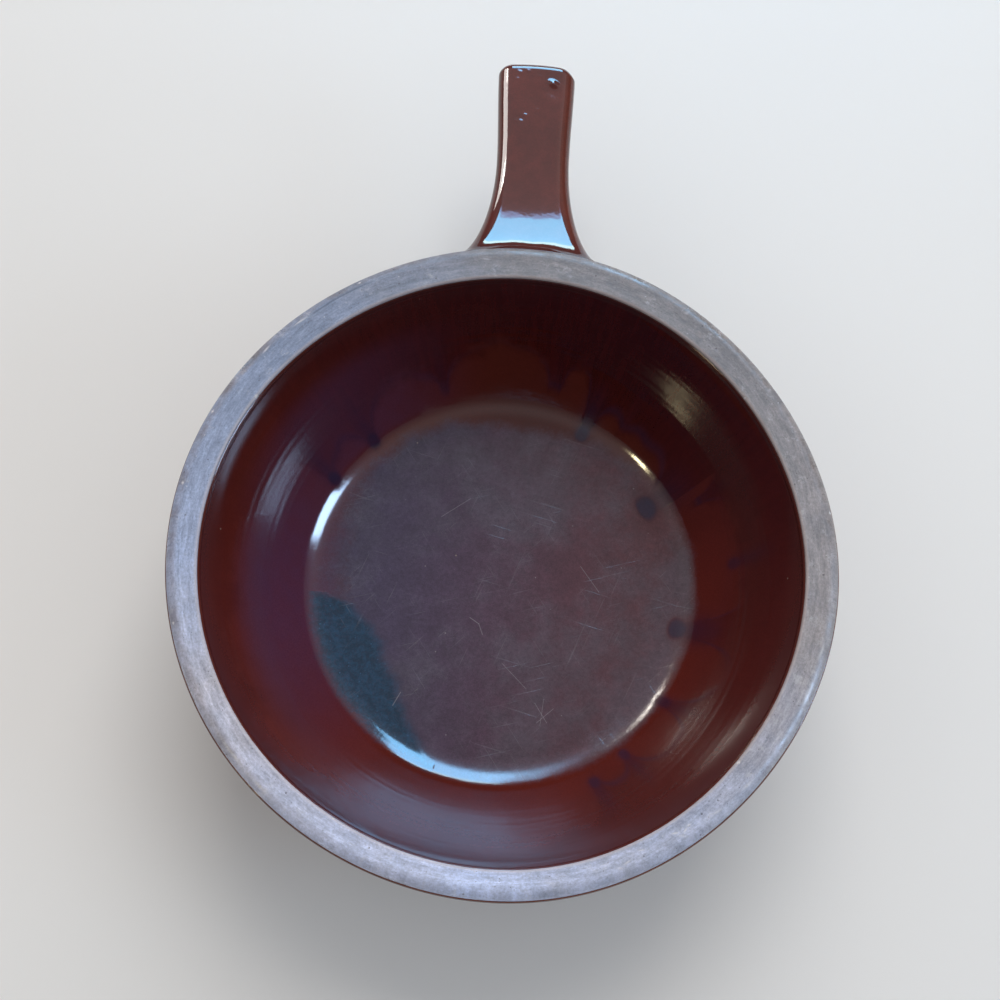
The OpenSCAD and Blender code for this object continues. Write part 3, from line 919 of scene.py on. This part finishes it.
# How far the wall swells: bearing in degrees, share of its height, and how much higher up it lies in mm
BELLY = [
    (-150, 0.5, 0), (-115, 0.2, 0), (-90, 0.05, 0), (-62, 0.2, -5), (-38, 0.75, -7), (0, 0.6, 0), (30, 0.95, 7),
    (48, 1.0, 8), (72, 0.25, 5), (95, 0.0, 0), (125, 0.2, 0), (148, 0.95, 0), (172, 1.0, 0), (-170, 0.75, 0),
]
# Turning lines of the wall: how far apart in mm, and how many times they wander in a turn
TURNING_LINES = [(3.1, 3), (4.3, 5), (2.4, 2)]


def pour_front(degrees):
    """How far down the second pour comes at each bearing, in mm of arc from the middle of the floor"""
    front = np.full(degrees.shape, 80.0)
    for here, there, arch in zip(DRIPS, DRIPS[1:] + DRIPS[:1], ARCHES):
        span = (here[0] - there[0]) % 360
        u = ((here[0] - degrees) % 360) / span
        near_end, far_end = 0.55 * here[2] / span, 0.55 * there[2] / span
        climb = np.where(u < 0.5, (u - near_end) / (0.5 - near_end), (1 - u - far_end) / (0.5 - far_end))
        low = np.where(u < 0.5, here[1], there[1])
        value = low + (arch - low) * np.sqrt(1 - (1 - np.clip(climb, 0, 1)) ** 2)
        front = np.where(u <= 1, value, front)
    return front


class POTTERY_OT_glaze_inside(bpy.types.Operator):
    """Makes the coat over the floor and the inside wall, with its second pour, drips and worn floor"""

    bl_idname = "pottery.glaze_inside"
    bl_label = "Glaze the inside"

    def execute(self, context):
        form = form_of(context.scene)
        look, turns = form.glaze, INSIDE_TURNS
        bearing = bearings(turns)
        degrees = (np.degrees(bearing) + 180) % 360 - 180
        back = form.inside_line(0)[::-1]
        ending = form.coat_end(form.inner_r, form.lip_z, -look.coat_t)
        shown = np.vstack([ending, form.inside_line(look.coat_t, 96, 44, 60)])
        # Distance of each row from the middle of the floor, along the surface, in mm
        steps = np.hypot(*np.diff(shown, axis=0).T)
        s = np.append(np.cumsum(steps[::-1])[::-1], 0)[:, None] / MM + 0 * bearing

        rng = np.random.default_rng(11)
        front = pour_front(degrees) + waves(rng, bearing, range(9, 60, 4), 0.05, 0.22)
        pour_mm = s - front
        pour = ease(pour_mm / 2.4 + 0.5)
        # The pour is thick on the far side and thins out towards the near and left side. The same share paints the
        # first coat darker on the far side, as painted shade on the wall that faces away from the far window.
        cover = 0.30 + 0.70 * near(degrees, 82, 92) + 0 * s
        bead, swell = np.zeros_like(s), np.zeros_like(s)
        for where, end, half, strength in DRIPS:
            beside, down = hump(turn_between(degrees, where), half), s - end
            blob = beside * np.where(down < 1.5, hump(down - 1.5, 2.4), hump(down - 1.5, 4.5))
            column = beside * rise(down, -2, 3) * (1 - rise(down, 5, 19))
            bead = np.maximum(bead, strength * np.maximum(rise(blob, 0.15, 0.7), 0.55 * column))
            swell = np.maximum(swell, (strength > 0) * blob)
        bead = np.maximum(bead, 0.42 * hump(pour_mm - 1.2, 1.7) * fall(front, 74, 12))
        film = np.zeros_like(s)
        for where, reach, low, high, soft, strength in FILMS:
            place = near(degrees, where, reach) * rise(s, low, 5) * (1 - rise(s, high, soft))
            film = np.maximum(film, strength * place)

        pool_in = np.interp(degrees, *np.transpose(POOL_EDGE))
        pool_in = pool_in + 0.5 * np.sin(7 * bearing + 1.3) + 0.35 * np.sin(17 * bearing) + 0.2 * np.sin(41 * bearing)
        beside = np.minimum(degrees - POOL_SIDES[0], POOL_SIDES[1] - degrees)
        pool_mm = np.minimum(np.minimum(s - pool_in, POOL_OUT - s), 0.55 * beside)
        pool_mm = np.where(beside > 0, pool_mm, -9.0)
        pool = ease(pool_mm / 2 + 0.5)
        # The worn floor's edge is sharp on the right and fades slowly on the left.
        edge = np.interp(degrees, *np.transpose(WORN_EDGE))
        edge = edge + 0.4 * np.sin(5 * bearing) + 0.25 * np.sin(23 * bearing + 2)
        sharp = 1 - 0.68 * near(degrees, 175, 80)
        worn_mm = (edge - 0.8 - s - 4 * (1 - sharp)) * sharp
        worn = ease(worn_mm / 3 + 0.5)
        matt = 1 - rise(s, 46.5, 11)
        thin = 0.16 * fall(s, front, 3) * rise(s, 50, 4) * near(degrees, 90, 100)
        thin = np.maximum(0.8 * hump(s - s[0], 2.0), thin)

        # The surface lifts where the coats are thick, and the runs of the pour leave it faintly ribbed.
        ribs = 0.5 * waves(rng, bearing, range(14, 90, 5), 0.3, 1.0, 1)
        lift = look.pour_t * pour * cover + look.bead_t * swell + 0.10 * MM * pool
        lift = lift + ribs * 0.05 * MM * rise(s, 50, 10) - 0.02 * MM * worn
        # The wall swells a little at half its height on both sides, where it catches the windows by way of the floor.
        bell = hump(np.arange(-60, 61), 24)
        held, moved = (
            np.convolve(np.tile(at_bearings(degrees, BELLY, column), 3), bell / bell.sum(), "same")[turns : 2 * turns]
            for column in (1, 2)
        )
        up = s - moved
        lift = lift + look.belly_h * held * rise(up, 64, 16) * (1 - rise(up, 81, 15))
        lines = sum(np.sin(TAU * s / apart + 2.1 * np.sin(bearing * k + apart)) for apart, k in TURNING_LINES)
        lift = lift + 0.006 * MM * lines * rise(s, 62, 6) * fall(s, 92, 5)
        lift = lift * fall(s, s[0], 4)
        tangent = np.gradient(shown, axis=0)
        tangent /= np.linalg.norm(tangent, axis=1)[:, None]
        r = np.vstack([back[:, :1] + 0 * bearing, shown[:, :1] + tangent[:, 1:] * lift])
        z = np.vstack([back[:, 1:] + 0 * bearing, shown[:, 1:] - tangent[:, :1] * lift])
        r = r + form.by_hand(z, bearing, 1)
        piece = piece_from("inside_coat", *turned(r, z), inside_glaze_material(look), "inside_glaze", "brown_glaze")

        layers = {"pour_mm": pour_mm, "worn_mm": worn_mm, "pool_mm": pool_mm, "cover": cover}
        layers.update(bead=bead, film=film, matt=matt, thin=thin)
        under = np.zeros((len(back), turns))
        paint(piece, **{name: on_turned(np.vstack([under, rows]), rows[-1].mean()) for name, rows in layers.items()})
        return {"FINISHED"}


class POTTERY_OT_glaze_outside(bpy.types.Operator):
    """Makes the coat over the outside wall, cut round the lug's root"""

    bl_idname = "pottery.glaze_outside"
    bl_label = "Glaze the outside"

    def execute(self, context):
        form = form_of(context.scene)
        t, a, shoulder_z = form.glaze.coat_t, form.glaze_line_a, form.shoulder_z
        bearing = bearings(OUTSIDE_TURNS)
        roll_r = form.back_arc_r + t / 2
        roll_c = (form.back_c[0] + roll_r * math.cos(a), form.back_c[1] + roll_r * math.sin(a))
        roll = arc(roll_c, t / 2, a - math.pi, a, 8)
        ending = form.coat_end(form.bowl.rim_r, shoulder_z, t)[::-1]
        shown = np.vstack([roll, form.outside_line(t, a, 56)[1:], ending])
        profile = np.vstack([shown, form.outside_line(0, a, 20)[1:][::-1]])
        # Its lower line wanders, and the wall is faintly ribbed.
        rng = np.random.default_rng(5)
        height = profile[:, 1:]
        wander = fall(height, 18 * MM, 14 * MM) * waves(rng, bearing, range(2, 26, 3), 0.1, 0.4, 0.5) * 0.8 * MM
        ribs = waves(rng, bearing, range(5, 60, 5), 0.3, 1, 1)
        z = height + wander
        facing = np.arange(len(profile))[:, None] < len(shown)
        ribbed = facing * rise(height, 9 * MM, 6 * MM) * fall(height, shoulder_z - 4 * MM, 5 * MM)
        r = profile[:, :1] + wander / math.tan(QUARTER + a) + ribbed * ribs * 0.05 * MM
        r = r + form.by_hand(z, bearing, 0)
        material = outer_glaze_material(form.glaze, "outside_glaze_finish")
        piece = piece_from("outside_coat", *turned(r, z), material, "outside_glaze", "brown_glaze")
        thin = 0.75 * rise(height, shoulder_z - 2.2 * MM, 2 * MM) + 0.25 * fall(height, 12 * MM, 6 * MM)
        thick = 0.5 * hump(height - 7 * MM, 2.2 * MM)
        paint(piece, thin=np.broadcast_to(thin, r.shape), thick=np.broadcast_to(thick, r.shape))

        inner = -2 * MM
        rings = form.lug_end(inner, 0, t)[::-1] + [form.lug_ring(inner, 0, t)] + form.lug_rings(0, t) + form.lug_tip(t)
        points, faces = skin(rings)
        cutter = mesh_object("lug_hole", points.tolist(), faces)
        cut = piece.modifiers.new("lug_hole", "BOOLEAN")
        cut.operation, cut.object, cut.solver = "DIFFERENCE", cutter, "EXACT"
        shape = bpy.data.meshes.new_from_object(piece.evaluated_get(context.evaluated_depsgraph_get()))
        piece.modifiers.clear()
        piece.data = shape
        shape.name = "outside_coat"
        shape.shade_smooth()
        bpy.data.objects.remove(cutter)
        return {"FINISHED"}


# Beads and pits of the lug's coat: place right of the axis and back from the end, radius and height in mm
BEADS = [
    (4.9, 6.6, 0.85, 0.5), (-4.8, 3.4, 0.5, 0.12), (-2.4, 2.9, 0.4, 0.10), (-5.4, 5.6, 0.4, 0.09),
    (0.9, 4.4, 0.35, 0.07), (-3.6, 18.0, 0.6, -0.13), (-2.5, 17.0, 0.35, 0.13), (0.7, 15.0, 0.25, 0.11),
    (-5.3, 19.0, 0.25, 0.10), (4.6, 9.2, 1.4, -0.14),
]


class POTTERY_OT_glaze_lug(bpy.types.Operator):
    """Makes the coat over the lug, opening out onto the outside coat"""

    bl_idname = "pottery.glaze_lug"
    bl_label = "Glaze the lug"

    def execute(self, context):
        form = form_of(context.scene)
        lug, t = form.lug, form.glaze.coat_t
        rings = form.lug_rings(0, t, 60, 90, 18)
        points = np.vstack(rings)
        x, y, z = points.T.copy()
        top = rise(z, form.grip_z - 3 * MM, 3 * MM)
        wall_y = form.back_y(x, np.minimum(z, form.upright_z), t)
        s = y - wall_y - form.by_hand(form.upright_z, np.arctan2(wall_y, x), 0)
        # The coat sags a little between its edges, and lies a little higher towards the sides of the root.
        beyond = rise(s, 26 * MM, 14 * MM) * fall(y, lug.tip_y - 4 * MM, 8 * MM)
        lift = 0.10 * MM * np.minimum((x / (9 * MM)) ** 2, 2) * hump(s, 12 * MM) * ease(s / (4 * MM))
        lift = lift - 0.12 * MM * beyond * (1 - ease(np.abs(x) / (7.5 * MM)))
        # A bead of glaze stands on the top near the end, with small ones and pits round it.
        for right, back, radius, high in BEADS:
            u, v = x - right * MM, y - (lug.tip_y - back * MM)
            along, over = (u - 0.75 * v) / 1.25, (v + 0.75 * u) / 1.25
            lift = lift + high * MM * hump(np.hypot(along / 1.6, over), radius * MM)
        # Glaze gathered in the corner under the rim, and it runs unevenly along it.
        wave = waves(np.random.default_rng(3), x / MM, (0.25, 0.6, 0.9, 1.7), 0.3, 1, 0.5)
        long = 2.6 + 0.25 * wave + 1.5 * ease(x / (13 * MM))
        gathered = np.exp(-np.maximum(s, 0) / (long * MM)) * (1 + 0.06 * wave)
        lift = lift + lug.root_pool * gathered * ease(s / (0.5 * MM))
        points[:, 2] += top * lift

        shell, faces = skin(np.split(points, len(rings)) + form.lug_tip(t, 10), closed=False)
        core, core_faces = skin(form.lug_rings(0, 0) + form.lug_tip(0), closed=False)
        base = len(shell)
        faces += [[base + v for v in reversed(face)] for face in core_faces] + band(base, 0, len(rings[0]))
        material = outer_glaze_material(form.glaze, "lug_glaze_finish")
        piece = piece_from("lug_coat", np.vstack([shell, core]), faces, material, "handle_glaze", "brown_glaze")

        x, y, z = shell.T
        s = y - form.back_r(z)
        half = form.half_w(s)
        long_edge = hump(half - np.abs(x) - 0.9 * MM, 1.5 * MM) * rise(s, 3 * MM, 10 * MM)
        long_edge = long_edge * (0.35 + 0.65 * ease(x / half))
        end_edge = hump(lug.tip_y - y - 0.6 * MM, 1.3 * MM)
        by_bead = hump(np.hypot(x - 4.6 * MM, y - (lug.tip_y - 6 * MM)), 2.2 * MM)
        zeros = np.zeros(len(core))
        thick = 0.9 * hump(s - 0.4 * MM, 3 * MM) + 0.35 * by_bead
        paint(piece, thin=np.append(np.clip(0.38 * long_edge + 0.25 * end_edge, 0, 1), zeros))
        paint(piece, thick=np.append(np.clip(thick, 0, 1), zeros))
        return {"FINISHED"}


# ---- stage --------------------------------------------------------------------------------

# Windows and lamps that the glaze mirrors: name, bearing and height above the horizon of the middle, width and
# height as seen from the bowl, in degrees, brightness where white is 1, colour, and what mirrors it
WINDOWS = [
    ("far_window", 80.5, 34, 23, 26, 21.0, (0.24, 0.60, 1.0), "bowl"),
    ("far_window_foot", 80.5, 18, 23, 6, 19.0, (0.52, 0.82, 1.0), "bowl"),
    ("far_window_side", 97.5, 34, 11, 26, 8.0, (0.32, 0.62, 1.0), "bowl"),
    ("lug_window", 90.5, 33, 17, 24, 20.0, (0.24, 0.64, 1.0), "lug"),
    ("lug_window_head", 90.5, 45.7, 17, 1.4, 11.0, (0.34, 0.55, 1.0), "lug"),
    ("lug_window_foot", 90.5, 18, 17, 6, 18.0, (0.60, 0.93, 1.0), "lug"),
    ("lug_ceiling", 90, 60.4, 60, 28, 0.62, (0.90, 0.93, 1.0), "lug"),
    ("lug_strip", 139, 27, 18, 29, 12.0, (1.0, 0.97, 0.94), "lug"),
    ("right_window", -6.5, 26, 17, 25, 37.0, (0.46, 0.68, 1.0), "both"),
    ("near_left_lamp", -142.5, 26, 6, 7, 54.0, (1.0, 0.86, 0.52), "both"),
    ("far_left_window", 132.5, 33, 6, 6, 60.0, (1.0, 0.93, 0.84), "both"),
]
WINDOWS_AWAY = 1.4
# Soft lights that show in no gloss: name, bearing, height above the horizon, side and distance in metres, colour
# and which of the stage's powers it takes
SOFT_LIGHTS = [
    ("soft_light", 84, 46, 1.6, 2.2, (1.0, 0.955, 0.90), "key"),
    ("right_glow", -8, 22, 0.7, 1.6, (0.55, 0.80, 1.0), "glow"),
]
LIGHTS_AIM = Vector((0, 0, 0.03))
# Sines of the heights above the horizon where the room's walls end, its ceiling is brightest, and the part of it
# straight above begins
WALLS_END, CEILING, OVERHEAD = 0.25, 0.66, 0.92
ROOM, BACKDROP = (0.97, 0.97, 1.0), (0.90, 0.895, 0.88)


def add_light(scene, name, bearing, height, wide, high, power, tint, away):
    """A soft rectangle of light aimed at the bowl. Its sides are metres and its power watts."""
    a, e = math.radians(bearing), math.radians(height)
    lamp = bpy.data.lights.new(name, "AREA")
    lamp.shape, lamp.size, lamp.size_y = "RECTANGLE", wide, high
    lamp.energy, lamp.color = power, tint
    holder = bpy.data.objects.new(name, lamp)
    way = Vector((math.cos(a) * math.cos(e), math.sin(a) * math.cos(e), math.sin(e)))
    holder.location = LIGHTS_AIM + away * way
    holder.rotation_euler = way.to_track_quat("Z", "Y").to_euler()
    holder.visible_camera = False
    scene.collection.objects.link(holder)
    return holder


class POTTERY_OT_set_stage(bpy.types.Operator):
    """Lays the pale floor and sets the lights and the camera"""

    bl_idname = "pottery.set_stage"
    bl_label = "Set the stage"

    def execute(self, context):
        scene, look = context.scene, context.scene.stage_look
        steps = 8
        row = steps + 1
        grid = np.linspace(-look.floor_span / 2, look.floor_span / 2, row)
        points = [(x, y, 0) for y in grid for x in grid]
        faces = [[k, k + 1, k + row + 1, k + row] for y in range(steps) for k in range(y * row, y * row + steps)]
        floor = mesh_object("floor", points, faces)
        floor.data.materials.append(floor_material(look))

        # The windows only show in the gloss. The soft lights and the room light everything else. The lug stands a
        # little askew to the bowl's far window, so it has panes of its own, and a strip along its left edge.
        mirrors = {}
        for name, state in (("lug", "INCLUDE"), ("bowl", "EXCLUDE")):
            mirrors[name] = bpy.data.collections.new("windows_of_the_" + name)
            mirrors[name].objects.link(bpy.data.objects["lug_coat"])
            mirrors[name].collection_objects[0].light_linking.link_state = state
        for name, bearing, height, wide, high, bright, tint, mirror in WINDOWS:
            wide, high = (2 * WINDOWS_AWAY * math.tan(math.radians(v / 2)) for v in (wide, high))
            power = bright * math.pi * wide * high
            pane = add_light(scene, name, bearing, height, wide, high, power, tint, WINDOWS_AWAY)
            pane.visible_diffuse = False
            if mirror in mirrors:
                pane.light_linking.receiver_collection = mirrors[mirror]
        for name, bearing, height, side, away, tint, power in SOFT_LIGHTS:
            soft = add_light(scene, name, bearing, height, side, side, getattr(look, power), tint, away)
            soft.visible_glossy = False

        # The camera sees a pale backdrop. The gloss sees a room whose ceiling is darker straight above.
        b = Bench("room", "worlds")
        up = b.split(b.places["Generated"])[2]
        ceiling = b.range(up, WALLS_END, CEILING, look.horizon, look.ceiling)
        sky = b.times(ceiling, b.range(up, CEILING, OVERHEAD, 1, look.overhead / look.ceiling))
        seen = b.node("ShaderNodeLightPath").outputs
        strength = b.times(sky, b.range(seen["Is Glossy Ray"], 0, 1, look.filled, 1, smooth=False))
        room, backdrop = b.node("ShaderNodeBackground", ROOM, strength), b.node("ShaderNodeBackground", BACKDROP)
        choose = b.node("ShaderNodeMixShader", seen["Is Camera Ray"], room.outputs[0], backdrop.outputs[0])
        b.node("ShaderNodeOutputWorld", choose.outputs[0])
        scene.world = b.owner

        lens = bpy.data.cameras.new("camera")
        lens.lens, lens.sensor_width = look.camera_lens, 36
        lens.clip_start, lens.clip_end = 0.01, 20
        camera = bpy.data.objects.new("camera", lens)
        turn = Matrix.Identity(3)
        for amount, axis in zip(look.camera_turn, "XYZ"):
            turn = turn @ Matrix.Rotation(amount, 3, axis)
        camera.matrix_world = Matrix.Translation(look.camera_at) @ turn.to_4x4()
        scene.collection.objects.link(camera)
        scene.camera = camera
        scene.view_settings.view_transform = "Standard"
        return {"FINISHED"}


GROUPS = {
    "bowl_sizes": BowlSizes,
    "lug_sizes": LugSizes,
    "glaze_look": GlazeLook,
    "clay_look": ClayLook,
    "stage_look": StageLook,
}
OPERATORS = [
    POTTERY_OT_throw_bowl,
    POTTERY_OT_press_lug,
    POTTERY_OT_glaze_inside,
    POTTERY_OT_glaze_outside,
    POTTERY_OT_glaze_lug,
    POTTERY_OT_set_stage,
]


class VIEW3D_PT_soup_bowl(bpy.types.Panel):
    """Steps and sizes of the soup bowl"""

    bl_label = "Lug soup bowl"
    bl_idname = "VIEW3D_PT_soup_bowl"
    bl_space_type = "VIEW_3D"
    bl_region_type = "UI"
    bl_category = "Soup bowl"

    def draw(self, context):
        for step in OPERATORS:
            self.layout.operator(step.bl_idname)
        for name, group in GROUPS.items():
            box = self.layout.box()
            box.label(text=group.__doc__)
            for key in group.__annotations__:
                box.prop(getattr(context.scene, name), key)


def register():
    for group in GROUPS.values():
        bpy.utils.register_class(group)
    for name, group in GROUPS.items():
        setattr(bpy.types.Scene, name, PointerProperty(type=group))
    for step in OPERATORS:
        bpy.utils.register_class(step)
    bpy.utils.register_class(VIEW3D_PT_soup_bowl)


def unregister():
    bpy.utils.unregister_class(VIEW3D_PT_soup_bowl)
    for step in reversed(OPERATORS):
        bpy.utils.unregister_class(step)
    for name in GROUPS:
        delattr(bpy.types.Scene, name)
    for group in reversed(list(GROUPS.values())):
        bpy.utils.unregister_class(group)


def main():
    register()
    bpy.ops.pottery.throw_bowl()
    bpy.ops.pottery.press_lug()
    bpy.ops.pottery.glaze_inside()
    bpy.ops.pottery.glaze_outside()
    bpy.ops.pottery.glaze_lug()
    bpy.ops.pottery.set_stage()


if __name__ == "__main__":
    main()
